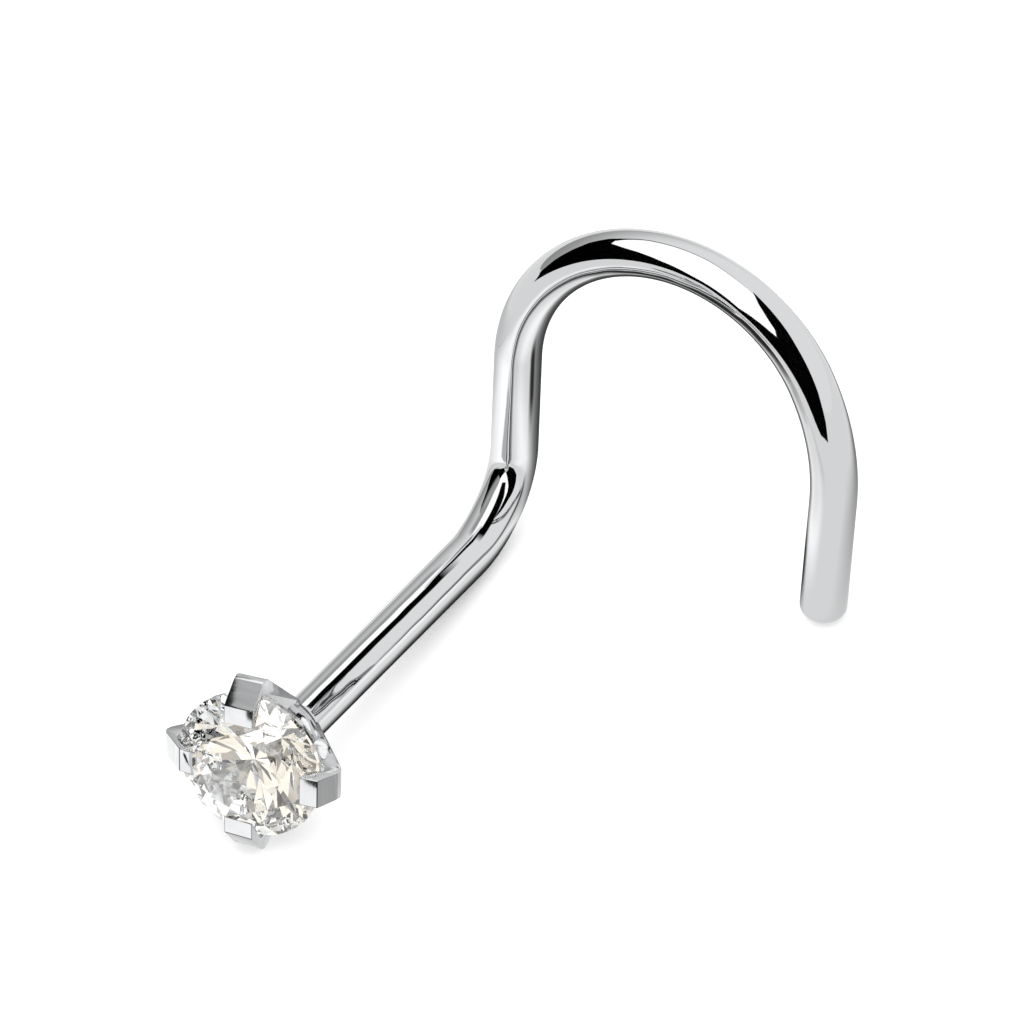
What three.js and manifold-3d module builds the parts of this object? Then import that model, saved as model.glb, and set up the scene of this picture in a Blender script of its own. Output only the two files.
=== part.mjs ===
// Nose stud for a pierced nostril: a steel post bent into an open hook, a four-claw setting
// on its front end and a round brilliant stone held under the claws.
// Millimetres, +Z up. The stud stands as it rests by itself, on one claw, the bend and the
// rounded tip of the hook, with the stone facing -Y.
import * as THREE from "three";
import { ConvexGeometry } from "three/addons/geometries/ConvexGeometry.js";
import { mergeVertices } from "three/addons/utils/BufferGeometryUtils.js";
import Module from "manifold-3d";

// Wire
const wireDiameter = 0.8;
const postLength = 7.5; // from the flat back of the setting to the hook's plane
const bendRadius = 1.5; // centre line, between post and hook
const bendTurn = 90; // degrees
const legLength = 3.15; // from the post's axis to the start of the arch
const archRadius = 2.92; // centre line of the tight part of the arch
const archTurn = 152; // degrees
const easeRadius = 4.24; // centre line of the slack part after it
const easeTurn = 30.5; // degrees
const endLength = 2.38; // straight end of the hook, with its rounded tip
const tipInset = 0.02; // the round tip is this much narrower than the wire, all round
const tipHeight = 0.3; // of its dome
const wireSink = 0.06; // the post runs this far into the setting's floor
const wireSides = 20;
const wireSteps = 120;
const bendSteps = 90; // points tried for the lowest place of the bend
const standingPasses = 20;

// Setting
const metalThickness = 0.26;
const backRadius = 0.6; // flat ring on the back of the cup
const cupFloor = 0.12;
const flareAngle = 41; // degrees, of the claws against the post's axis
const clawWidth = 0.52;
const clawTurn = 5; // degrees, first claw against the leg of the hook
const girdleWall = 0.26; // metal outside the stone's girdle
const shoulderRise = 0.14; // upright stretch of a claw at its widest
const foldRun = 0.38; // from the widest radius in to the fold
const foldRise = 0.42; // from the shoulder up to the fold
const padLength = 0.32; // tip of a claw over the stone
const padRise = 0.03;
const webRound = 0.6; // inside corner between two claws
const webInset = 0.06; // the web lies this much inside the claws' faces
const cornerSteps = 10;
const coneSides = 64;
const headAcross = 0.13; // the setting is soldered this far off the post's axis
const headTilt = 4; // degrees off square
const headTiltTurn = -34; // degrees from the leg, the side that the stone leans to

// The claws are pressed over the stone by hand: each has its own place, in degrees off an even
// spread, and its width and the run in to its fold as shares of the sizes above.
const claws = [
  { turn: 0, width: 1.04, run: 0.9 },
  { turn: -1, width: 0.85, run: 1.25 },
  { turn: -3, width: 1, run: 1.1 },
  { turn: -2, width: 1, run: 0.45 },
];

// Stone
const stoneDiameter = 2.6;
const girdleThickness = 0.1;
const tableShare = 0.57; // of the diameter
const starShare = 0.5; // of the way from the table's edge to the girdle
const lowerShare = 0.77; // of the way from the girdle to the culet
const crownAngle = 34.5; // degrees
const pavilionAngle = 40.75; // degrees
const facetFolds = 8;
const seatGap = 0.04; // clear space between stone and metal

const steelColour = 0xc9cacc;
const stoneColour = 0xf4f6f8;

const wasm = await Module();
wasm.setup();

const wireRadius = wireDiameter / 2;
const stoneRadius = stoneDiameter / 2;
const tipRadius = wireRadius - tipInset;
const flare = THREE.MathUtils.degToRad(flareAngle);
const wallAcross = metalThickness / Math.cos(flare);

// Places on the setting are measured in its own axes, from the middle of its flat back.
const leanAxis = circlePoint(1, THREE.MathUtils.degToRad(headTiltTurn) + Math.PI / 2);
const headPlace = new THREE.Matrix4()
  .makeRotationAxis(leanAxis, THREE.MathUtils.degToRad(headTilt))
  .setPosition(0, headAcross, postLength);

// The stone sits where its girdle comes down to the inside of the flaring claws.
const seatOut = stoneRadius - backRadius + (metalThickness + seatGap) / Math.cos(flare);
const girdleLow = seatOut / Math.tan(flare);
const girdleHigh = girdleLow + girdleThickness;
const clawReach = stoneRadius + seatGap + girdleWall;

// A circular arc in space: a point carried round a centre about an axis.
class ArcCurve extends THREE.Curve {
  constructor(centre, start, axis, turn) {
    super();
    this.centre = centre;
    this.arm = start.clone().sub(centre);
    this.axis = axis;
    this.turn = turn;
  }

  getPoint(t, target = new THREE.Vector3()) {
    return target.copy(this.arm).applyAxisAngle(this.axis, this.turn * t).add(this.centre);
  }
}

// A path drawn as a wire is bent: straight runs and turns, each from where the last one ended.
class BentPath extends THREE.CurvePath {
  constructor(start, heading) {
    super();
    this.place = start.clone();
    this.heading = heading.clone();
  }

  run(length) {
    const end = this.place.clone().addScaledVector(this.heading, length);
    this.add(new THREE.LineCurve3(this.place, end));
    this.place = end;
    return this;
  }

  bend(radius, degrees, axis) {
    const turn = THREE.MathUtils.degToRad(degrees);
    const inward = new THREE.Vector3().crossVectors(axis, this.heading);
    const centre = this.place.clone().addScaledVector(inward, radius);
    const arc = new ArcCurve(centre, this.place, axis, turn);
    this.add(arc);
    this.place = arc.getPoint(1);
    this.heading.applyAxisAngle(axis, turn);
    return this;
  }
}

function toSolid(geometry) {
  const bare = geometry.clone();
  bare.deleteAttribute("normal");
  bare.deleteAttribute("uv");
  const merged = mergeVertices(bare);
  return new wasm.Manifold(new wasm.Mesh({
    numProp: 3,
    vertProperties: new Float32Array(merged.attributes.position.array),
    triVerts: new Uint32Array(merged.index.array),
  }));
}

function toGeometry(solid) {
  const mesh = solid.getMesh();
  const geometry = new THREE.BufferGeometry();
  geometry.setAttribute("position", new THREE.BufferAttribute(mesh.vertProperties, 3));
  geometry.setIndex(new THREE.BufferAttribute(mesh.triVerts, 1));
  geometry.computeVertexNormals();
  return geometry;
}

// Turned outlines are given as [radius, height] and stand on the Z axis.
function turned(outline) {
  const points = outline.map(([radius, height]) => new THREE.Vector2(radius, height));
  const geometry = new THREE.LatheGeometry(points, coneSides);
  geometry.rotateX(Math.PI / 2);
  return geometry;
}

function circlePoint(radius, angle, height = 0) {
  return new THREE.Vector3(radius * Math.cos(angle), radius * Math.sin(angle), height);
}

// Wire. The hook's leg runs along X in the plane Z = 0 and the post rises from it along Z.
function wirePath() {
  const start = new THREE.Vector3(0, 0, postLength + wireSink);
  return new BentPath(start, new THREE.Vector3(0, 0, -1))
    .run(postLength + wireSink - bendRadius)
    .bend(bendRadius, bendTurn, new THREE.Vector3(0, -1, 0))
    .run(legLength - bendRadius)
    .bend(archRadius, archTurn, new THREE.Vector3(0, 0, -1))
    .bend(easeRadius, easeTurn, new THREE.Vector3(0, 0, -1))
    .run(endLength - tipHeight);
}

function wireSolid(path) {
  const section = new THREE.Shape();
  for (let side = 0; side < wireSides; side++) {
    const corner = circlePoint(wireRadius, (2 * Math.PI * side) / wireSides);
    if (side === 0) section.moveTo(corner.x, corner.y);
    else section.lineTo(corner.x, corner.y);
  }
  const rod = new THREE.ExtrudeGeometry(section, {
    steps: wireSteps,
    bevelEnabled: false,
    extrudePath: path,
  });
  return toSolid(rod).add(toSolid(tipGeometry(path)));
}

// The blunt dome on the hook's free end.
function tipGeometry(path) {
  const tip = new THREE.SphereGeometry(tipRadius, wireSides, wireSides / 2);
  tip.scale(1, tipHeight / tipRadius, 1);
  tip.applyQuaternion(new THREE.Quaternion().setFromUnitVectors(new THREE.Vector3(0, 1, 0), path.heading));
  return tip.translate(path.place.x, path.place.y, path.place.z);
}

// Setting. Heights run along its axis from the flat back of the cup.
function clawAngle(index) {
  const even = (2 * Math.PI * index) / claws.length;
  return even + THREE.MathUtils.degToRad(clawTurn + claws[index].turn);
}

function clawSolid(index) {
  const wideLow = (clawReach - backRadius) / Math.tan(flare);
  const wideHigh = wideLow + shoulderRise;
  const foldRadius = clawReach - foldRun * claws[index].run;
  const foldHigh = wideHigh + foldRise;
  const tipEnd = foldRadius - padLength;
  const seatRadius = stoneRadius + seatGap;
  const side = new THREE.Shape([
    new THREE.Vector2(0, 0),
    new THREE.Vector2(backRadius, 0),
    new THREE.Vector2(clawReach, wideLow),
    new THREE.Vector2(clawReach, wideHigh),
    new THREE.Vector2(foldRadius, foldHigh),
    new THREE.Vector2(tipEnd, foldHigh + padRise),
    new THREE.Vector2(tipEnd, foldHigh + padRise - metalThickness),
    new THREE.Vector2(seatRadius, girdleHigh),
    new THREE.Vector2(seatRadius, innerHeight(seatRadius)),
    new THREE.Vector2(innerRadius(cupFloor), cupFloor),
    new THREE.Vector2(0, cupFloor),
  ]);
  const width = clawWidth * claws[index].width;
  const claw = new THREE.ExtrudeGeometry(side, { depth: width, bevelEnabled: false });
  claw.translate(0, 0, -width / 2);
  claw.rotateX(Math.PI / 2);
  claw.rotateZ(clawAngle(index));
  return toSolid(claw);
}

// The inside of the flaring wall.
function innerHeight(radius) {
  return (radius - backRadius + wallAcross) / Math.tan(flare);
}

function innerRadius(height) {
  return backRadius - wallAcross + height * Math.tan(flare);
}

// The cup between the claws: a conical wall trimmed to a cross with round inside corners.
function webSolid() {
  const armHalf = clawWidth / 2 - webInset;
  const armEnd = armHalf + webRound;
  const top = innerHeight(armEnd);
  const outer = backRadius - webInset;
  const wall = turned([
    [0, 0],
    [outer, 0],
    [outer + top * Math.tan(flare), top],
    [armEnd, top],
    [innerRadius(cupFloor), cupFloor],
    [0, cupFloor],
  ]);
  const cross = new THREE.Shape();
  for (let arm = 0; arm < claws.length; arm++) {
    const turn = (2 * Math.PI * arm) / claws.length;
    const corner = circlePoint(armEnd * Math.SQRT2, turn + Math.PI / claws.length);
    cross.absarc(corner.x, corner.y, webRound, turn - Math.PI / 2, turn - Math.PI, true);
  }
  const trim = new THREE.ExtrudeGeometry(cross, {
    depth: top,
    bevelEnabled: false,
    curveSegments: cornerSteps,
  });
  trim.rotateZ(THREE.MathUtils.degToRad(clawTurn));
  return toSolid(wall).intersect(toSolid(trim));
}

// The room that the stone needs: its own outline turned round, larger by the clear gap.
function stoneRoom() {
  const crown = Math.tan(THREE.MathUtils.degToRad(crownAngle));
  const pavilion = Math.tan(THREE.MathUtils.degToRad(pavilionAngle));
  const edge = stoneRadius + seatGap;
  const table = stoneRadius * tableShare;
  const tableHigh = girdleHigh + (stoneRadius - table) * crown;
  const geometry = turned([
    [0, girdleLow - seatGap - edge * pavilion],
    [edge, girdleLow - seatGap],
    [edge, girdleHigh + seatGap],
    [table, tableHigh + 2 * seatGap],
    [0, tableHigh + 2 * seatGap],
  ]);
  return toSolid(geometry);
}

function settingSolid() {
  const parts = claws.map((claw, index) => clawSolid(index));
  return parts.reduce((whole, claw) => whole.add(claw), webSolid()).subtract(stoneRoom());
}

// Stone: the corners of a round brilliant's facets, joined by their hull.
function stoneGeometry() {
  const crown = Math.tan(THREE.MathUtils.degToRad(crownAngle));
  const pavilion = Math.tan(THREE.MathUtils.degToRad(pavilionAngle));
  const halfStep = Math.PI / facetFolds;
  const tableRadius = stoneRadius * tableShare;
  const starRadius = THREE.MathUtils.lerp(tableRadius * Math.cos(halfStep), stoneRadius, starShare);
  const lowerRadius = stoneRadius * (1 - lowerShare);
  const lowerDrop = (stoneRadius - lowerRadius * Math.cos(halfStep)) * pavilion;
  const starRise = (stoneRadius - starRadius * Math.cos(halfStep)) * crown;
  const corners = [circlePoint(0, 0, girdleLow - stoneRadius * pavilion)];
  for (let fold = 0; fold < facetFolds; fold++) {
    const main = 2 * halfStep * fold;
    const between = main + halfStep;
    corners.push(
      circlePoint(tableRadius, main, girdleHigh + (stoneRadius - tableRadius) * crown),
      circlePoint(starRadius, between, girdleHigh + starRise),
      circlePoint(lowerRadius, between, girdleLow - lowerDrop),
    );
    for (const angle of [main, between]) {
      corners.push(circlePoint(stoneRadius, angle, girdleHigh), circlePoint(stoneRadius, angle, girdleLow));
    }
  }
  return new ConvexGeometry(corners);
}

// Upper outside corners of the claws, where they are widest.
function clawCorners() {
  const height = (clawReach - backRadius) / Math.tan(flare);
  return claws.flatMap((claw, index) => [-1, 1].map((edge) => {
    const side = circlePoint((edge * clawWidth * claw.width) / 2, clawAngle(index) + Math.PI / 2);
    return circlePoint(clawReach, clawAngle(index), height).add(side).applyMatrix4(headPlace);
  }));
}

// The floor touches the underside of the bend, the round tip and one corner of a claw.
function restingUp(path) {
  const bend = path.curves[1].getSpacedPoints(bendSteps);
  const dome = tipGeometry(path).attributes.position;
  const tip = [];
  for (let index = 0; index < dome.count; index++) {
    tip.push(new THREE.Vector3().fromBufferAttribute(dome, index));
  }
  const up = new THREE.Vector3(1, 0, 0);
  const lowest = (points) => points.reduce((low, point) => (point.dot(up) < low.dot(up) ? point : low));
  for (let pass = 0; pass < standingPasses; pass++) {
    const bendFoot = lowest(bend).clone().addScaledVector(up, -wireRadius);
    const floor = new THREE.Plane().setFromCoplanarPoints(bendFoot, lowest(tip), lowest(clawCorners()));
    up.copy(floor.normal).multiplyScalar(Math.sign(floor.normal.x));
  }
  return up;
}

function standingTurn(up) {
  const stoneAxis = new THREE.Vector3(0, 0, 1);
  const back = stoneAxis.clone().addScaledVector(up, -stoneAxis.dot(up)).normalize().negate();
  const right = new THREE.Vector3().crossVectors(back, up);
  const basis = new THREE.Matrix4().makeBasis(right, back, up);
  return new THREE.Quaternion().setFromRotationMatrix(basis.transpose());
}

const path = wirePath();
const post = wireSolid(path).subtract(stoneRoom().transform(headPlace.elements));
const metal = new THREE.Mesh(
  toGeometry(post.add(settingSolid().transform(headPlace.elements))),
  new THREE.MeshStandardMaterial({ color: steelColour, roughness: 0.12, metalness: 1 }),
);
metal.name = "post_hook_and_setting";

const stone = new THREE.Mesh(
  stoneGeometry(),
  new THREE.MeshStandardMaterial({ color: stoneColour, roughness: 0.02, metalness: 0 }),
);
stone.name = "brilliant_stone";
stone.rotation.z = THREE.MathUtils.degToRad(clawTurn);

const head = new THREE.Group();
head.add(stone);
head.applyMatrix4(headPlace);

const stud = new THREE.Group();
stud.add(metal, head);
stud.quaternion.copy(standingTurn(restingUp(path)));
stud.updateMatrixWorld(true);
const box = new THREE.Box3().setFromObject(stud, true);
stud.position.set(-(box.min.x + box.max.x) / 2, -(box.min.y + box.max.y) / 2, -box.min.z);

const noseStud = new THREE.Group();
noseStud.add(stud);

export default noseStud;
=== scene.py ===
# Nose stud for a pierced nostril: a polished steel post bent into an open hook, a four-claw
# setting soldered to its front end and a round brilliant held under the claws. It stands by
# itself on a pale table, under a small white light tent.
from math import asin, atan2, cos, degrees, hypot, pi, radians, sin, sqrt, tan

import bmesh
import bpy
from mathutils import Matrix, Vector


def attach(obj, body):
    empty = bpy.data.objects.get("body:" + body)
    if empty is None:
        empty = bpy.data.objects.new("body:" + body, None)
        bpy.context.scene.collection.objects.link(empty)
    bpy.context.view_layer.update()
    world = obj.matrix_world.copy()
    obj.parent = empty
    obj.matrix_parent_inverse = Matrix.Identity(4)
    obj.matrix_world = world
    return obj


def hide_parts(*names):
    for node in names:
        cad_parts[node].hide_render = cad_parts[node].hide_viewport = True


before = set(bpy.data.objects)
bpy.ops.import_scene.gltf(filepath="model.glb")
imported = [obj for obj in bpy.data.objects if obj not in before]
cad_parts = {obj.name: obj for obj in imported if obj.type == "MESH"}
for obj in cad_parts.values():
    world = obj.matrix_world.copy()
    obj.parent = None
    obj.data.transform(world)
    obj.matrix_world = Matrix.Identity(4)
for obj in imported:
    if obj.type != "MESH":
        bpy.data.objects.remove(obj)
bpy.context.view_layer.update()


# Camera
# A long lens looks down on the stud from its front right, square to the picture's middle,
# which is where the post's axis meets the hook's leg.
MM = 0.001
stud_corner = Vector((-2.3852, 4.0196, 0.1905)) * MM
towards_camera = Vector((0.39514, -0.63892, 0.66003)).normalized()
picture_up = Vector((-0.27517, 0.60318, 0.74863))
picture_right = picture_up.cross(towards_camera).normalized()
picture_up = towards_camera.cross(picture_right)
picture_width = 17.0667 * MM
camera_distance = 0.65
sensor_width = 36

camera_data = bpy.data.cameras.new("camera")
camera_data.sensor_width = sensor_width
camera_data.lens = sensor_width * camera_distance / picture_width
camera = bpy.data.objects.new("camera", camera_data)
picture_middle = stud_corner + 0.003 * MM * picture_right - 0.015 * MM * picture_up
turn = Matrix((picture_right, picture_up, towards_camera)).transposed()
camera.matrix_world = Matrix.Translation(picture_middle + camera_distance * towards_camera) \
    @ turn.to_4x4()
bpy.context.scene.collection.objects.link(camera)
bpy.context.scene.camera = camera


# Wire
# Surgical steel wire, 0.8 mm, cut to length and bent cold round three formers: a square corner
# into the hook's leg, the tight part of the arch and its slack part. The free end is rounded.
wire_radius = 0.4
post_length = 7.5
post_sink = 0.06
slack_corner_radius = 1.9
slack_corner_turn = 40
tight_corner_radius = 1.15
tight_corner_turn = 50
leg_length = 3.15
arch_radius = 2.92
arch_turn = 152
ease_radius = 4.24
ease_turn = 30.5
end_length = 2.38
tip_height = 0.3
wire_sides = 64
turn_step = 2.5
run_step = 0.25
tip_steps = 10

# The stud's own axes, in millimetres: the leg along X, the post's front end along Z.
stud_axes = Matrix((
    (0.0263895, -0.9996517, 0.0, -2.3851630),
    (0.1511127, 0.0039892, -0.9885085, 4.0195985),
    (0.9881642, 0.0260863, 0.1511654, 0.1904742),
    (0.0, 0.0, 0.0, 1.0),
))
stud_place = Matrix.Scale(MM, 4) @ stud_axes


class WireRod:
    """A round wire that is drawn out straight and bent, a ring of its skin at a time."""

    def __init__(self, radius, sides, start, heading):
        self.bm = bmesh.new()
        self.straight = self.bm.verts.layers.float_vector.new("straight_wire")
        self.radius, self.sides = radius, sides
        self.place, self.heading, self.length = start, heading, 0.0
        facing = heading.to_track_quat("Z", "X").to_matrix().to_4x4()
        bmesh.ops.create_circle(self.bm, segments=sides, radius=radius,
                                matrix=Matrix.Translation(start) @ facing)
        self.rim = self.bm.edges[:]
        self.mark_rings([0.0])

    def mark_rings(self, lengths):
        """Each ring keeps where it lay on the wire before it was bent."""
        self.bm.verts.ensure_lookup_table()
        first = len(self.bm.verts) - self.sides * len(lengths)
        for ring, length in enumerate(lengths):
            for side in range(self.sides):
                angle = 2 * pi * side / self.sides
                vert = self.bm.verts[first + ring * self.sides + side]
                vert[self.straight] = Vector((length, self.radius * cos(angle), self.radius * sin(angle)))

    def run(self, length):
        steps = max(1, round(length / run_step))
        for _ in range(steps):
            made = bmesh.ops.extrude_edge_only(self.bm, edges=self.rim)["geom"]
            verts = [item for item in made if isinstance(item, bmesh.types.BMVert)]
            self.rim = [edge for edge in made if isinstance(edge, bmesh.types.BMEdge)
                        and all(vert in verts for vert in edge.verts)]
            bmesh.ops.translate(self.bm, verts=verts, vec=self.heading * length / steps)
            self.length += length / steps
            self.mark_rings([self.length])
        self.place = self.place + self.heading * length
        return self

    def bend(self, radius, turn, axis):
        steps = round(turn / turn_step)
        centre = self.place + axis.cross(self.heading) * radius
        made = bmesh.ops.spin(self.bm, geom=self.rim, cent=centre, axis=axis, angle=radians(turn),
                              steps=steps, use_duplicate=False)["geom_last"]
        self.rim = [item for item in made if isinstance(item, bmesh.types.BMEdge)]
        arc = radians(turn) * radius
        self.mark_rings([self.length + arc * (step + 1) / steps for step in range(steps)])
        self.length += arc
        spin = Matrix.Rotation(radians(turn), 3, axis)
        self.place = centre + spin @ (self.place - centre)
        self.heading = spin @ self.heading
        return self

    def round_end(self, height, steps):
        before = (1.0, 0.0)
        for step in range(1, steps):
            angle = pi / 2 * step / steps
            ring = (cos(angle), height * sin(angle))
            made = bmesh.ops.extrude_edge_only(self.bm, edges=self.rim)["geom"]
            verts = [item for item in made if isinstance(item, bmesh.types.BMVert)]
            self.rim = [edge for edge in made if isinstance(edge, bmesh.types.BMEdge)
                        and all(vert in verts for vert in edge.verts)]
            bmesh.ops.translate(self.bm, verts=verts, vec=self.heading * (ring[1] - before[1]))
            middle = self.place + self.heading * ring[1]
            bmesh.ops.scale(self.bm, verts=verts, vec=Vector.Fill(3, ring[0] / before[0]),
                            space=Matrix.Translation(-middle))
            self.mark_rings([self.length + ring[1]])
            before = ring
        bmesh.ops.edgeloop_fill(self.bm, edges=self.rim)
        self.length += height
        return self


wire = WireRod(wire_radius, wire_sides, Vector((0, 0, post_length + post_sink)), Vector((0, 0, -1)))
bmesh.ops.edgeloop_fill(wire.bm, edges=wire.rim)
slack = radians(slack_corner_turn)
corner_before = slack_corner_radius * sin(slack) + tight_corner_radius * (1 - sin(slack))
corner_after = slack_corner_radius * (1 - cos(slack)) + tight_corner_radius * cos(slack)
wire.run(post_length + post_sink - corner_before)
wire.bend(slack_corner_radius, slack_corner_turn, Vector((0, -1, 0)))
wire.bend(tight_corner_radius, tight_corner_turn, Vector((0, -1, 0)))
wire.run(leg_length - corner_after)
wire.bend(arch_radius, arch_turn, Vector((0, 0, -1)))
wire.bend(ease_radius, ease_turn, Vector((0, 0, -1)))
wire.run(end_length - tip_height)
wire.round_end(tip_height, tip_steps)
bmesh.ops.recalc_face_normals(wire.bm, faces=wire.bm.faces)


# Setting
# Cast steel: four flat claws on a small flaring cup, cut out between them with round corners.
# Each claw is bent over the stone's edge at a fold and ends in a short pad on its crown.
metal_thickness = 0.26
back_radius = 0.6
cup_floor = 0.12
flare = radians(41)
claw_width = 0.52
claw_turn = 5
girdle_wall = 0.26
shoulder_rise = 0.14
fold_run = 0.38
fold_rise = 0.42
shoulder_round = 0.07
edge_round = 0.028
edge_turn = 25
pad_length = 0.32
pad_rise = 0.03
cut_radius = 0.6
cut_inset = 0.012
cut_steps = 24
cut_far = 4.0
cup_steps = 96
# Each claw's last value is the painted brightness of its fold, a painted reflection set in the steel's
# colour.
claws = [
    {"turn": 0, "width": 1.04, "run": 0.9, "fold_painted_light": 0.27},
    {"turn": -1, "width": 0.85, "run": 1.25, "fold_painted_light": 0.98},
    {"turn": -3, "width": 1, "run": 1.1, "fold_painted_light": 0.45},
    {"turn": -2, "width": 1, "run": 0.45, "fold_painted_light": 0.38},
]
head_across = 0.13
head_tilt = 4
head_tilt_turn = -34
stone_radius = 1.3
girdle_thickness = 0.1
seat_gap = 0.04
table_share = 0.57
crown_slope = tan(radians(34.5))
pavilion_slope = tan(radians(40.75))

wall_across = metal_thickness / cos(flare)
seat_radius = stone_radius + seat_gap
girdle_low = (stone_radius - back_radius + (metal_thickness + seat_gap) / cos(flare)) / tan(flare)
girdle_high = girdle_low + girdle_thickness
claw_reach = stone_radius + seat_gap + girdle_wall
lean_angle = radians(head_tilt_turn + 90)
lean_axis = Vector((cos(lean_angle), sin(lean_angle), 0))
head_place = Matrix.Translation((0, head_across, post_length)) \
    @ Matrix.Rotation(radians(head_tilt), 4, lean_axis)


def inner_height(radius):
    return (radius - back_radius + wall_across) / tan(flare)


def inner_radius(height):
    return back_radius - wall_across + height * tan(flare)


def as_object(bm, name):
    mesh = bpy.data.meshes.new(name)
    bm.to_mesh(mesh)
    bm.free()
    piece = bpy.data.objects.new(name, mesh)
    bpy.context.scene.collection.objects.link(piece)
    return piece


def vertices_of(made):
    return [item for item in made if isinstance(item, bmesh.types.BMVert)]


def turned(outline, steps):
    """A closed solid turned on a lathe from an outline of (radius, height) corners."""
    bm = bmesh.new()
    verts = [bm.verts.new((radius, 0, height)) for radius, height in outline]
    edges = [bm.edges.new(pair) for pair in zip(verts, verts[1:])]
    bmesh.ops.spin(bm, geom=verts + edges, cent=(0, 0, 0), axis=(0, 0, 1), angle=2 * pi, steps=steps,
                   use_merge=True, use_duplicate=False)
    bmesh.ops.remove_doubles(bm, verts=bm.verts, dist=1e-5)
    bmesh.ops.recalc_face_normals(bm, faces=bm.faces)
    return bm


def round_corners(bm, corners, radius, segments):
    """Rounds corners of a flat outline, such as where metal is bent rather than cut."""
    bm.verts.ensure_lookup_table()
    bmesh.ops.bevel(bm, geom=[bm.verts[corner] for corner in corners], offset=radius, offset_type="OFFSET",
                    segments=segments, profile=0.5, affect="VERTICES", material=-1, clamp_overlap=True)


def claw_piece(claw):
    wide_low = (claw_reach - back_radius) / tan(flare)
    wide_high = wide_low + shoulder_rise
    fold_radius = claw_reach - fold_run * claw["run"]
    fold_high = wide_high + fold_rise
    tip_end = fold_radius - pad_length
    outline = [
        (0, 0),
        (back_radius, 0),
        (claw_reach, wide_low),
        (claw_reach, wide_high),
        (fold_radius, fold_high),
        (tip_end, fold_high + pad_rise),
        (tip_end, fold_high + pad_rise - metal_thickness),
        (seat_radius, girdle_high),
        (seat_radius, inner_height(seat_radius)),
        (inner_radius(cup_floor), cup_floor),
        (0, cup_floor),
    ]
    bm = bmesh.new()
    verts = [bm.verts.new((radius, 0, height)) for radius, height in outline]
    bm.faces.new(verts)
    round_corners(bm, (2, 3), shoulder_round, 4)
    width = claw_width * claw["width"]
    bmesh.ops.translate(bm, verts=bm.verts, vec=(0, -width / 2, 0))
    made = bmesh.ops.extrude_face_region(bm, geom=bm.faces[:])["geom"]
    bmesh.ops.translate(bm, verts=vertices_of(made), vec=(0, width, 0))
    bmesh.ops.recalc_face_normals(bm, faces=bm.faces)
    sharp = [edge for edge in bm.edges if edge.calc_face_angle(0) > radians(edge_turn)
             and min(hypot(vert.co.x, vert.co.y) for vert in edge.verts) > back_radius / 2]
    bmesh.ops.bevel(bm, geom=sharp, offset=edge_round, offset_type="OFFSET", segments=3, profile=0.5,
                    affect="EDGES", material=-1, clamp_overlap=True)
    return bm


def cup_piece():
    arm_half = claw_width / 2 - cut_inset
    arm_end = arm_half + cut_radius
    top = inner_height(arm_end)
    outer = back_radius - cut_inset
    outline = [(0, 0), (outer, 0), (outer + top * tan(flare), top), (arm_end, top),
               (inner_radius(cup_floor), cup_floor), (0, cup_floor)]
    return turned(outline, cup_steps)


def solid_of(piece, tools):
    """Fuses or cuts one closed piece with others, as (operation, other) pairs."""
    for operation, tool in tools:
        step = piece.modifiers.new("joint", "BOOLEAN")
        step.operation, step.object, step.solver = operation, tool, "MANIFOLD"
    finished = piece.evaluated_get(bpy.context.evaluated_depsgraph_get())
    shaped = bpy.data.meshes.new_from_object(finished)
    piece.modifiers.clear()
    piece.data = shaped
    for _, tool in tools:
        bpy.data.objects.remove(tool)
    return piece


# The cutter for one gap is a rounded wedge: everything outside the cross of the claws.
arm_half = claw_width / 2 - cut_inset
arm_end = arm_half + cut_radius
cutters = []
for gap in range(len(claws)):
    bm = bmesh.new()
    outline = [(arm_half, arm_half), (cut_far, arm_half), (cut_far, cut_far), (arm_half, cut_far)]
    bm.faces.new([bm.verts.new((x, y, -cut_far / 4)) for x, y in outline])
    round_corners(bm, (0,), cut_radius, cut_steps)
    made = bmesh.ops.extrude_face_region(bm, geom=bm.faces[:])["geom"]
    bmesh.ops.translate(bm, verts=vertices_of(made), vec=(0, 0, cut_far))
    bmesh.ops.recalc_face_normals(bm, faces=bm.faces)
    turn = Matrix.Rotation(radians(claw_turn + 90 * gap), 3, "Z")
    bmesh.ops.rotate(bm, verts=bm.verts, matrix=turn)
    cutters.append(("DIFFERENCE", as_object(bm, f"cutter_{gap}")))
setting = solid_of(as_object(cup_piece(), "setting"), cutters)

claw_tools = []
for index, claw in enumerate(claws):
    bm = claw_piece(claw)
    turn = Matrix.Rotation(radians(90 * index + claw_turn + claw["turn"]), 3, "Z")
    bmesh.ops.rotate(bm, verts=bm.verts, matrix=turn)
    claw_tools.append(("UNION", as_object(bm, f"claw_{index}")))

# Room for the stone, turned out of the claws' insides.
table_radius = stone_radius * table_share
table_high = girdle_high + (stone_radius - table_radius) * crown_slope
room_outline = [
    (0, girdle_low - seat_gap - seat_radius * pavilion_slope),
    (seat_radius, girdle_low - seat_gap),
    (seat_radius, girdle_high + seat_gap),
    (table_radius, table_high + 2 * seat_gap),
    (0, table_high + 2 * seat_gap),
]
room = as_object(turned(room_outline, cup_steps), "stone_room")
setting = solid_of(setting, claw_tools + [("DIFFERENCE", room)])
setting.data.transform(head_place)

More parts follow.
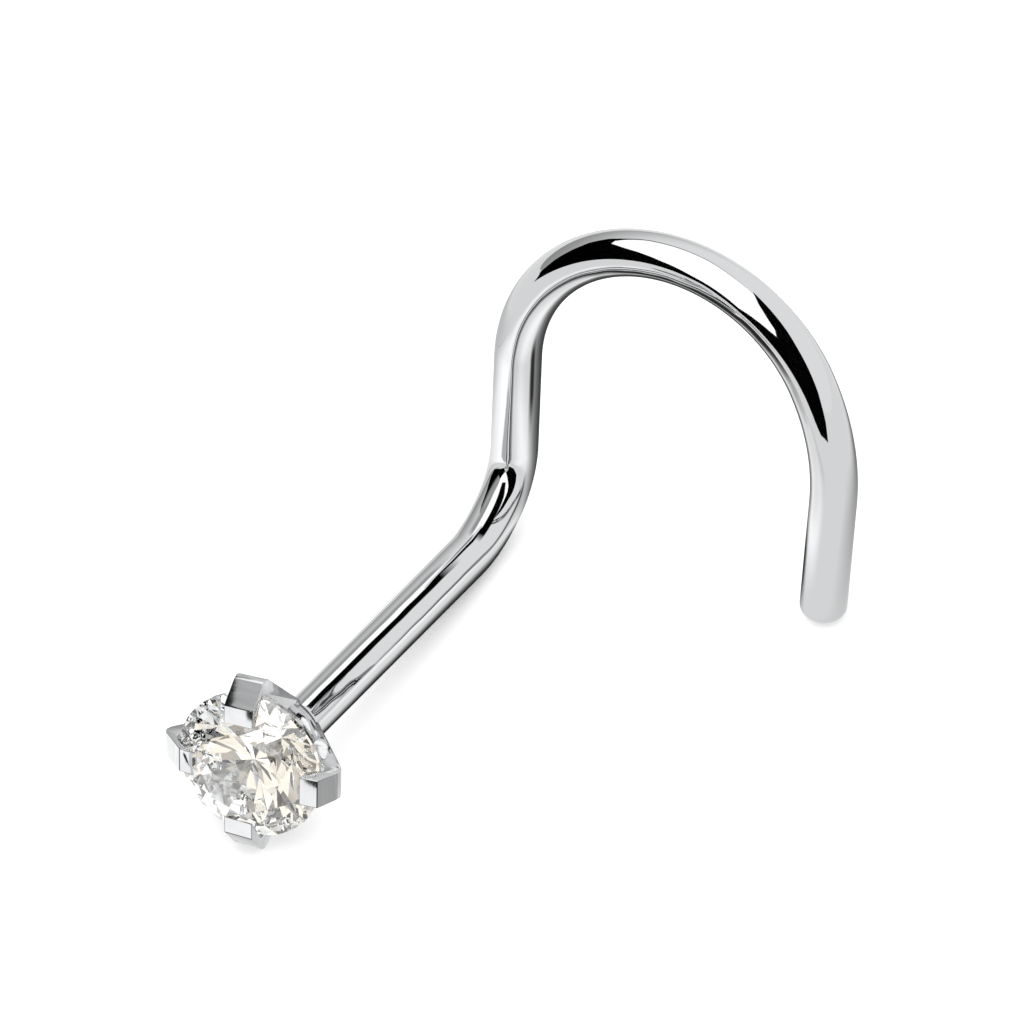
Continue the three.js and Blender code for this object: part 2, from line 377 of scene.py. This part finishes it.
# Solder
# A small ring of silver solder runs round the post where it meets the back of the setting.
solder_across = 0.1
solder_height = 0.12
solder_depth = 0.03
solder_arc_steps = 8
solder_steps = 64
solder_inside = wire_radius - solder_across
solder_outline = [(solder_inside, post_length + solder_depth),
                  (wire_radius + solder_across, post_length + solder_depth)]
for step in range(solder_arc_steps + 1):
    angle = pi / 2 * step / solder_arc_steps
    solder_outline.append((wire_radius + solder_across * (1 - sin(angle)),
                           post_length - solder_height * (1 - cos(angle))))
solder_outline += [(solder_inside, post_length - solder_height), solder_outline[0]]
solder = as_object(turned(solder_outline, solder_steps), "solder")

metal = solid_of(as_object(wire.bm, "polished_stud"), [("UNION", setting), ("UNION", solder)])

# Each flat of the setting has its own brightness painted into the steel's colour: painted reflection on each
# claw's fold, painted highlights on the pads and inward faces, painted shade in the creases. The rest keeps
# the steel's own tone.
wire_tone = 0.62
pad_painted_highlight = 0.98
inside_painted_highlight = 0.9
crease_painted_shade = 0.07
flat_likeness = 0.985
tones = metal.data.attributes.new("filed_tone", "FLOAT", "FACE")
to_head = head_place.inverted()
shoulder_high = (claw_reach - back_radius) / tan(flare) + shoulder_rise
for face in metal.data.polygons:
    place, facing = to_head @ face.center, to_head.to_3x3() @ face.normal
    out = Vector((place.x, place.y, 0)).normalized()
    index = round((degrees(atan2(place.y, place.x)) - claw_turn) / 90) % 4
    claw = claws[index]
    fold_facing = Vector((fold_rise, fold_run * claw["run"])).normalized()
    outward = Vector((facing.dot(out), facing.z))
    tone = wire_tone
    # Inward faces get a painted highlight. Along a claw, the fold gets a painted reflection, the pad a
    # painted highlight and the crease painted shade.
    faces_inwards = place.z > cup_floor / 2 and outward.x < -0.3
    runs_along_claw = place.z > shoulder_high and outward.length > 0.9
    if faces_inwards:
        tone = inside_painted_highlight
    if runs_along_claw:
        if outward.dot(fold_facing) > flat_likeness:
            tone = claw["fold_painted_light"]
        elif outward.y > flat_likeness:
            tone = pad_painted_highlight
        elif fold_facing.y < outward.y:
            tone = crease_painted_shade
    tones.data[face.index].value = tone
metal.data.transform(stud_place)
metal.data.shade_smooth()


class Value:
    """A number that varies, worked out by nodes."""

    def __init__(self, nodes, socket):
        self.nodes, self.socket = nodes, socket

    def math(self, operation, *others):
        return self.nodes.node("ShaderNodeMath", {"operation": operation}, dict(enumerate(others)))

    def __add__(self, other):
        return self.math("ADD", self, other)

    def __sub__(self, other):
        return self.math("SUBTRACT", self, other)

    def __rsub__(self, other):
        return self.math("SUBTRACT", other, self)

    def __mul__(self, other):
        return self.math("MULTIPLY", self, other)

    def __truediv__(self, other):
        return self.math("DIVIDE", self, other)

    __radd__ = __add__
    __rmul__ = __mul__


class Nodes:
    """A tree of nodes, as a material or the sky has."""

    def __init__(self, tree):
        self.tree = tree

    def node(self, kind, settings=(), sockets=(), output=0):
        """Adds one node. Sockets are given by name, or by number among those in use."""
        made = self.tree.nodes.new(kind)
        for name, value in dict(settings).items():
            if name == "stops":
                while len(made.color_ramp.elements) < len(value):
                    made.color_ramp.elements.new(0.5)
                for element, (position, colour) in zip(made.color_ramp.elements, value):
                    element.position, element.color = position, colour
            else:
                setattr(made, name, value)
        ins = [socket for socket in made.inputs if socket.enabled]
        outs = [socket for socket in made.outputs if socket.enabled]
        named_ins = {socket.name: socket for socket in reversed(ins)}
        named_outs = {socket.name: socket for socket in reversed(outs)}
        for socket, value in dict(sockets).items():
            self.connect(value, ins[socket] if isinstance(socket, int) else named_ins[socket])
        return Value(self, outs[output] if isinstance(output, int) else named_outs[output])

    def connect(self, value, socket):
        if isinstance(value, Value):
            self.tree.links.new(value.socket, socket)
        else:
            socket.default_value = value


class Finish(Nodes):
    """A material, with the even values of its shader."""

    def __init__(self, name, **sockets):
        self.material = bpy.data.materials.new(name)
        self.material.use_nodes = True
        super().__init__(self.material.node_tree)
        self.shader = self.tree.nodes["Principled BSDF"]
        for socket, value in sockets.items():
            self.shader.inputs[socket.replace("_", " ")].default_value = value


def grey(tone):
    return (tone, tone, tone, 1)


steel = Finish("polished_steel", Metallic=1.0)
along = steel.node("ShaderNodeAttribute", {"attribute_name": "straight_wire"}, output="Vector")
drawn = steel.node("ShaderNodeMapping", {"vector_type": "POINT"}, {"Vector": along, "Scale": (0.6, 14, 14)})
drawn_lines = steel.node("ShaderNodeTexNoise", {}, {"Vector": drawn, "Scale": 1.0, "Detail": 3.0})
wave = steel.node("ShaderNodeMapping", {"vector_type": "POINT"}, {"Vector": along, "Scale": (1.1, 1.6, 1.6)})
waves = steel.node("ShaderNodeTexNoise", {}, {"Vector": wave, "Scale": 1.0, "Detail": 1.0})

# The setting is cast, and filed flat by hand, so fine streaks run round it, across the claws.
surface = steel.node("ShaderNodeTexCoord", output="Object")
in_stud = [steel.node("ShaderNodeVectorMath", {"operation": "DOT_PRODUCT"},
                      {0: surface, 1: stud_axes.to_3x3().col[axis] / MM}, "Value") for axis in range(3)]
post_foot = stud_axes.to_3x3().col[2].dot(stud_corner / MM)
on_setting = steel.node("ShaderNodeMapRange", {"interpolation_type": "SMOOTHSTEP"},
                        {"Value": in_stud[2], "From Min": post_foot + post_length - 0.15,
                         "From Max": post_foot + post_length - 0.02})
streaks_across, streaks_along = 1.3, 17
filed = steel.node("ShaderNodeCombineXYZ", {}, {"X": in_stud[0] * streaks_across,
                                                "Y": in_stud[1] * streaks_across,
                                                "Z": in_stud[2] * streaks_along})
streaks = steel.node("ShaderNodeTexNoise", {}, {"Vector": filed, "Scale": 1.0, "Detail": 4.0})
wire_roughness = drawn_lines * 0.04 + 0.015
filed_roughness = streaks * 0.14 + 0.03
steel.connect(wire_roughness + on_setting * filed_roughness, steel.shader.inputs["Roughness"])
# The steel's colour carries the painted light of each flat, darkened a little along the filing streaks.
filed_tone = steel.node("ShaderNodeAttribute", {"attribute_name": "filed_tone"}, output="Fac")
tone = filed_tone * (1 - on_setting * (0.3 * streaks))
steel_tint = steel.node("ShaderNodeMix", {"data_type": "RGBA"},
                        {"Factor": tone, "A": (0, 0, 0, 1), "B": (0.99, 1.0, 1.01, 1)}, "Result")
steel.connect(steel_tint, steel.shader.inputs["Base Color"])
relief = steel.node("ShaderNodeBump", {}, {"Height": waves * (1 - on_setting) + streaks * on_setting * 0.35,
                                           "Strength": 1.0, "Distance": 0.01 * MM})
steel.connect(relief, steel.shader.inputs["Normal"])
metal.data.materials.clear()
metal.data.materials.append(steel.material)
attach(metal, "root")
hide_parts("post_hook_and_setting")


# Stone
# A clear cubic zirconia, cut as a round brilliant: a turned blank with flat facets ground on it,
# a table, stars, kites and upper halves on the crown, mains and lower halves on the pavilion.
lower_share = 0.77
facet_folds = 8
blank_sides = 128
blank_length = 4
half_step = pi / facet_folds
bm = bmesh.new()
bmesh.ops.create_cone(bm, cap_ends=True, segments=blank_sides, radius1=stone_radius, radius2=stone_radius,
                      depth=blank_length)


def ring_point(radius, angle, height):
    return Vector((radius * cos(angle), radius * sin(angle), height))


def grind(bm, corners):
    """Grinds the blank flat through three corners of a facet."""
    first, second, third = corners
    normal = (second - first).cross(third - first).normalized()
    if normal.dot(first - Vector((0, 0, girdle_low))) < 0:
        normal.negate()
    cut = bmesh.ops.bisect_plane(bm, geom=bm.verts[:] + bm.edges[:] + bm.faces[:], plane_co=first,
                                 plane_no=normal, clear_outer=True, dist=1e-6)["geom_cut"]
    rim = [item for item in cut if isinstance(item, bmesh.types.BMEdge)]
    bmesh.ops.edgeloop_fill(bm, edges=rim)


star_radius = (table_radius * cos(half_step) + stone_radius) / 2
lower_radius = stone_radius * (1 - lower_share)
culet = Vector((0, 0, girdle_low - stone_radius * pavilion_slope))
lower_drop = (stone_radius - lower_radius * cos(half_step)) * pavilion_slope
star_rise = (stone_radius - star_radius * cos(half_step)) * crown_slope
grind(bm, [ring_point(1, 0, table_high), ring_point(1, 1, table_high), ring_point(1, 2, table_high)])
for fold in range(facet_folds):
    main = 2 * half_step * fold
    between = main + half_step
    table_corner = ring_point(table_radius, main, table_high)
    next_table = ring_point(table_radius, main + 2 * half_step, table_high)
    star_corner = ring_point(star_radius, between, girdle_high + star_rise)
    star_before = ring_point(star_radius, main - half_step, girdle_high + star_rise)
    lower_corner = ring_point(lower_radius, between, girdle_low - lower_drop)
    lower_before = ring_point(lower_radius, main - half_step, girdle_low - lower_drop)
    grind(bm, [table_corner, star_corner, star_before])
    grind(bm, [table_corner, next_table, star_corner])
    grind(bm, [culet, lower_corner, lower_before])
    for side, upper, lower in ((-1, star_before, lower_before), (1, star_corner, lower_corner)):
        edge = main + side * half_step
        grind(bm, [upper, ring_point(stone_radius, main, girdle_high),
                   ring_point(stone_radius, edge, girdle_high)])
        grind(bm, [lower, ring_point(stone_radius, main, girdle_low),
                   ring_point(stone_radius, edge, girdle_low)])
bmesh.ops.recalc_face_normals(bm, faces=bm.faces)
bmesh.ops.rotate(bm, verts=bm.verts, matrix=Matrix.Rotation(radians(claw_turn), 3, "Z"))
stone = as_object(bm, "brilliant_cut_stone")
stone.data.transform(stud_place @ head_place)

clear = Finish("clear_stone", Roughness=0.0, Transmission_Weight=1.0, IOR=2.16)
in_stone = clear.node("ShaderNodeTexCoord", output="Object")
# Painted light: the stone's colour turns cool on one side and warm on the other, in place of coloured light
# through the cut.
warm_way = stud_axes.to_3x3() @ Vector((-0.27, -0.92, -0.27))
stone_middle = warm_way.dot(stud_axes @ head_place @ Vector((0, 0, girdle_high)))
stone_side = clear.node("ShaderNodeVectorMath", {"operation": "DOT_PRODUCT"},
                        {0: in_stone, 1: warm_way / MM}, "Value")
cool_white, warm_white = (0.92, 0.96, 1.0, 1), (1.0, 0.965, 0.90, 1)
stone_painted_light_tint = clear.node("ShaderNodeValToRGB", {"stops": [(0.0, cool_white), (1.0, warm_white)]},
                        {"Fac": (stone_side - stone_middle) * 0.4 + 0.5})
clear.connect(stone_painted_light_tint, clear.shader.inputs["Base Color"])
stone.data.materials.append(clear.material)
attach(stone, "root")
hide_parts("brilliant_stone")


# Table and light
# A pale table top inside a small white tent. A bright window faces the stud from the front, with
# a black card on each side of it, and the mirrors of the wire draw dark lines from the cards.
bm = bmesh.new()
bmesh.ops.create_grid(bm, x_segments=1, y_segments=1, size=1.5)
floor = as_object(bm, "table_top")
paper = Finish("table_top", Roughness=0.6, Base_Color=(0.95, 0.95, 0.95, 1), Emission_Color=(1, 1, 1, 1),
               Emission_Strength=0.2)
floor.data.materials.append(paper.material)
floor.visible_glossy = False

world = bpy.data.worlds.new("tent")
bpy.context.scene.world = world
world.use_nodes = True
sky = Nodes(world.node_tree)
sky_light = sky.tree.nodes["Background"]
way = sky.node("ShaderNodeTexCoord", output="Generated")
through_stone = sky.node("ShaderNodeLightPath", output="Is Transmission Ray")
behind = sky.node("ShaderNodeVectorMath", {"operation": "DOT_PRODUCT"},
                  {0: way, 1: -0.6 * picture_right - 0.8 * towards_camera}, "Value")
tent_light = sky.node("ShaderNodeMapRange", {"interpolation_type": "SMOOTHSTEP"},
                      {"Value": behind, "From Max": 0.95, "To Min": 1.12, "To Max": 0.38})

# What the stone refracts is broken by dark patches, and warm on one side and cool on the other.
patches = sky.node("ShaderNodeTexNoise", {}, {"Vector": way, "Scale": 2.6, "Detail": 1.0})
patch_light = sky.node("ShaderNodeValToRGB", {"stops": [
    (0.0, grey(0.02)), (0.45, grey(0.0)), (0.465, grey(0.3)), (0.53, grey(0.55)), (0.55, grey(1.15)),
    (1.0, grey(1.12))]}, {"Fac": patches})
to_the_right = sky.node("ShaderNodeVectorMath", {"operation": "DOT_PRODUCT"},
                        {0: way, 1: picture_right}, "Value")
warm_light, cool_light = (1.0, 0.92, 0.80, 1), (0.88, 0.94, 1.0, 1)
patch_tint = sky.node("ShaderNodeValToRGB", {"stops": [(0.0, warm_light), (0.7, cool_light)]},
                      {"Fac": to_the_right})
sky.connect(sky.node("ShaderNodeMix", {"data_type": "RGBA"},
                     {"Factor": through_stone, "A": grey(1), "B": patch_tint}), sky_light.inputs["Color"])
sky.connect(sky.node("ShaderNodeMix", {}, {"Factor": through_stone, "A": tent_light, "B": patch_light}),
            sky_light.inputs["Strength"])


def show_in_mirrors(card, finish):
    card.data.materials.append(finish.material)
    card.visible_camera = card.visible_diffuse = card.visible_shadow = False


def mirrored(facing):
    """Where the camera looks by way of a mirror that faces this way."""
    return 2 * facing.dot(towards_camera) * facing - towards_camera


def tent_point(across, up, distance):
    """A place on the tent, given by how a ball at the stud's corner would mirror it to the camera."""
    forwards = sqrt(max(0, 1 - across * across - up * up))
    facing = across * picture_right + up * picture_up + forwards * towards_camera
    return stud_corner + mirrored(facing) * distance * MM


def card_finish(name, glow):
    return Finish(name, Roughness=1.0, Base_Color=(0, 0, 0, 1), Specular_IOR_Level=0.0,
                  Emission_Color=(1, 1, 1, 1), Emission_Strength=glow)


window_glow = 1.75
cards = {
    "window_pane": (window_glow, 28.0, [
        (-0.30, 0.54), (-0.20, 0.565), (-0.10, 0.56), (0.0, 0.53), (0.07, 0.49), (0.13, 0.42), (0.18, 0.33),
        (0.21, 0.25), (0.23, 0.1), (0.2, -0.15), (0.1, -0.24), (-0.1, -0.3), (-0.35, -0.24), (-0.5, -0.1),
        (-0.5, 0.3), (-0.42, 0.5)]),
    "window_rim": (0.3, 27.5, [
        (-0.30, 0.54), (-0.20, 0.565), (-0.10, 0.56), (0.0, 0.53), (0.07, 0.49), (0.13, 0.42), (0.18, 0.33),
        (0.187, 0.33), (0.142, 0.43), (0.085, 0.507), (0.01, 0.553), (-0.095, 0.588), (-0.2, 0.598),
        (-0.31, 0.585)]),
    "card_left": (0.0, 27.0, [
        (-0.25, 0.575), (-0.36, 0.50), (-0.405, 0.41), (-0.40, 0.302), (-0.37, 0.141), (-0.35, 0.0),
        (-0.32, -0.12), (-0.28, -0.2), (-0.28, -0.3), (-0.40, -0.24), (-0.5, -0.17), (-0.608, -0.1),
        (-0.698, -0.02), (-0.716, 0.159), (-0.662, 0.284), (-0.572, 0.41), (-0.465, 0.525), (-0.35, 0.585)]),
    "card_right": (0.0, 16.0, [
        (0.245, 0.32), (0.27, 0.25), (0.295, 0.15), (0.31, 0.0), (0.30, -0.1), (0.26, -0.2), (0.19, -0.29),
        (0.0, -0.36), (-0.161, -0.36), (-0.30, -0.3), (-0.30, -0.2), (-0.243, -0.2), (-0.18, -0.163),
        (-0.07, -0.109), (0.054, -0.05), (0.12, 0.03), (0.155, 0.12), (0.185, 0.2)]),
}
for name, (glow, distance, outline) in cards.items():
    bm = bmesh.new()
    bm.faces.new([bm.verts.new((across, up, 0)) for across, up in outline])
    bmesh.ops.triangulate(bm, faces=bm.faces)
    bmesh.ops.subdivide_edges(bm, edges=bm.edges, cuts=5, use_grid_fill=True)
    for vert in bm.verts:
        vert.co = tent_point(vert.co.x, vert.co.y, distance)
    card = as_object(bm, name)
    show_in_mirrors(card, card_finish(name, glow))
    card.visible_transmission = False

# A striped card is curved over the post, on the camera's side. Its stripes draw one black line and
# one white line along the post. It shows on its inner side only, so the hook mirrors none of it.
post_way = (stud_axes.to_3x3() @ Vector((0, 0, 1))).normalized()
post_front = (towards_camera - towards_camera.dot(post_way) * post_way).normalized()
post_side = post_way.cross(post_front)
stripe_distance = 4.5
stripe_low, stripe_high = 0.02, 0.62
stripe_start, stripe_end = 2.55, 7.7
stripes = card_finish("striped_card", window_glow)
stripe_place = stripes.node("ShaderNodeAttribute", {"attribute_name": "stripe"}, output="Fac")
stripe_tones = stripes.node("ShaderNodeValToRGB", {"stops": [
    (0.0, grey(0)), (0.235, grey(0)), (0.26, grey(1)), (0.40, grey(1)), (0.44, grey(0.24)),
    (0.52, grey(0.28)), (0.62, grey(0.5))]}, {"Fac": stripe_place})
stripes.connect(stripe_tones, stripes.shader.inputs["Emission Color"])
past_low_edge = stripes.node("ShaderNodeMapRange", {}, {
    "Value": stripe_place, "From Min": stripe_low, "From Max": stripe_low + 0.03})
before_high_edge = stripes.node("ShaderNodeMapRange", {}, {
    "Value": stripe_place, "From Min": stripe_high, "From Max": stripe_high - 0.1})
past_start = stripes.node("ShaderNodeAttribute", {"attribute_name": "past_start"}, output="Fac")
post_side_only = stripes.node("ShaderNodeNewGeometry", output="Backfacing")
stripe_shows = past_low_edge * before_high_edge * past_start * post_side_only
stripes.connect(stripe_shows, stripes.shader.inputs["Alpha"])
bm = bmesh.new()
stripe_layer = bm.verts.layers.float.new("stripe")
start_layer = bm.verts.layers.float.new("past_start")
bmesh.ops.create_grid(bm, x_segments=30, y_segments=16, size=0.5)
for vert in bm.verts:
    turn_side = stripe_low + (stripe_high - stripe_low) * (vert.co.x + 0.5)
    length = stripe_start + (stripe_end - stripe_start) * (vert.co.y + 0.5)
    vert[stripe_layer] = turn_side
    vert[start_layer] = min(1, max(0, (length - stripe_start - 0.05) / 0.5))
    # The lens is not endlessly long, so the lines would drift off the post's middle.
    turn_side += 0.04 * max(0, length - 3) / 3
    facing = cos(asin(turn_side)) * post_front + turn_side * post_side
    vert.co = stud_corner + (length * post_way + stripe_distance * mirrored(facing)) * MM
striped_card = as_object(bm, "striped_card")
show_in_mirrors(striped_card, stripes)
striped_card.visible_transmission = False

# The sheet under the stud is white in front, with grey and black painted shadow behind the hook and beside
# the post, and a painted pool of light at the front left.
sheet = card_finish("sheet_and_painted_shadows", 2.0)
sheet_place = sheet.node("ShaderNodeTexCoord", output="Object")
sheet_mm = sheet.node("ShaderNodeVectorMath", {"operation": "SCALE"},
                      {"Vector": sheet_place, "Scale": 1 / MM})
sheet_parts = sheet.node("ShaderNodeSeparateXYZ", {}, {"Vector": sheet_mm}).socket.node.outputs
sheet_x, sheet_y = Value(sheet, sheet_parts["X"]), Value(sheet, sheet_parts["Y"])


def painted_patch(x, y, wide, deep, edge):
    """One soft round patch, for painted light and painted shadow: 1 in its middle, 0 past its rim."""
    reach = sheet.node("ShaderNodeVectorMath", {"operation": "MULTIPLY_ADD"},
                       {0: sheet_mm, 1: (1 / wide, 1 / deep, 0), 2: (-x / wide, -y / deep, 0)})
    away = sheet.node("ShaderNodeVectorMath", {"operation": "LENGTH"}, {0: reach}, "Value")
    return ramp(away, edge, 1.0, 1.0, 0.0)


def ramp(value, low, high, at_low=0.0, at_high=1.0):
    return sheet.node("ShaderNodeMapRange", {"interpolation_type": "SMOOTHSTEP"}, {
        "Value": value, "From Min": low, "From Max": high, "To Min": at_low, "To Max": at_high})


hook_foot = (-2.4, 4.04)
angle = sheet.node("ShaderNodeMath", {"operation": "ARCTAN2"},
                   {0: sheet_y - hook_foot[1], 1: sheet_x - hook_foot[0]})
fan = sheet.node("ShaderNodeValToRGB", {"stops": [
    (0.0, grey(0.75)), (0.09, grey(0.9)), (0.14, grey(1)), (0.48, grey(1)), (0.54, grey(0.57)),
    (0.595, grey(0.26)), (0.67, grey(0.1)), (0.825, grey(0.03)), (0.84, grey(0.6)), (1.0, grey(0.75))]},
    {"Fac": angle * (0.5 / pi) + 0.5})
# The fan is painted shade round the hook's foot. Only behind the hook does the fan show.
painted_fan_shadow = 1 - painted_patch(hook_foot[0], hook_foot[1], 14, 14, 0.6) * (1 - fan)
# A painted pool of light brightens the sheet at the front left. Painted shadow darkens it near the hook's
# tip and left of the post.
glow = 1.05 + 0.6 * painted_patch(-3.5, 1.0, 6.5, 6.0, 0.5)
painted_tip_shadow = 1 - 0.93 * painted_patch(2.1, 4.9, 1.9, 1.5, 0.3)
painted_grey_shade_left = 1 - 0.6 * painted_patch(-3.6, 0.2, 0.9, 3.6, 0.5)

# A strip of dark painted shadow with a grey border lies along the post's right side and ends at the head.
post_gap = (sheet_x - (-2.0)) / (0.5 + 0.12 * (hook_foot[1] - sheet_y))
right_of_post = sheet.node("ShaderNodeMapRange", {}, {"Value": sheet_x, "From Min": -2.7, "From Max": -2.4})
beside_post = right_of_post * ramp(sheet_y, 4.5, 3.5) * ramp(sheet_y, -3.4, -2.8)
dark_painted_shadow = ramp(post_gap, 0.0, 1.0, 0.97, 0.0)
grey_painted_shadow = ramp(post_gap, 1.0, 4.0, 0.33, 0.0)
painted_post_shadow = (1 - dark_painted_shadow * beside_post) * (1 - grey_painted_shadow * beside_post)
sheet_tone = glow * painted_fan_shadow * painted_tip_shadow * painted_post_shadow * painted_grey_shade_left * 0.5
sheet.connect(sheet_tone, sheet.shader.inputs["Emission Color"])
bm = bmesh.new()
bmesh.ops.create_grid(bm, x_segments=1, y_segments=1, size=1.5)
bmesh.ops.translate(bm, verts=bm.verts, vec=(0, 0, 0.01 * MM))
mirror_sheet = as_object(bm, "sheet_and_painted_shadows")
show_in_mirrors(mirror_sheet, sheet)
mirror_sheet.visible_transmission = False

window_middle = tent_point(-0.105, 0.2, 29)
window = bpy.data.lights.new("window", "AREA")
window.shape = "DISK"
window.size = 32 * MM
window.energy = 1.1 * pi * pi * (window.size / 2) ** 2
window_light = bpy.data.objects.new("window", window)
window_light.matrix_world = Matrix.Translation(window_middle) @ \
    (window_middle - stud_corner).to_track_quat("Z", "Y").to_matrix().to_4x4()
window_light.visible_camera = window_light.visible_glossy = window_light.visible_transmission = False
bpy.context.scene.collection.objects.link(window_light)

bpy.context.scene.view_settings.view_transform = "Standard"
bpy.context.scene.cycles.max_bounces = 24
bpy.context.scene.cycles.glossy_bounces = 20
bpy.context.scene.cycles.transmission_bounces = 24
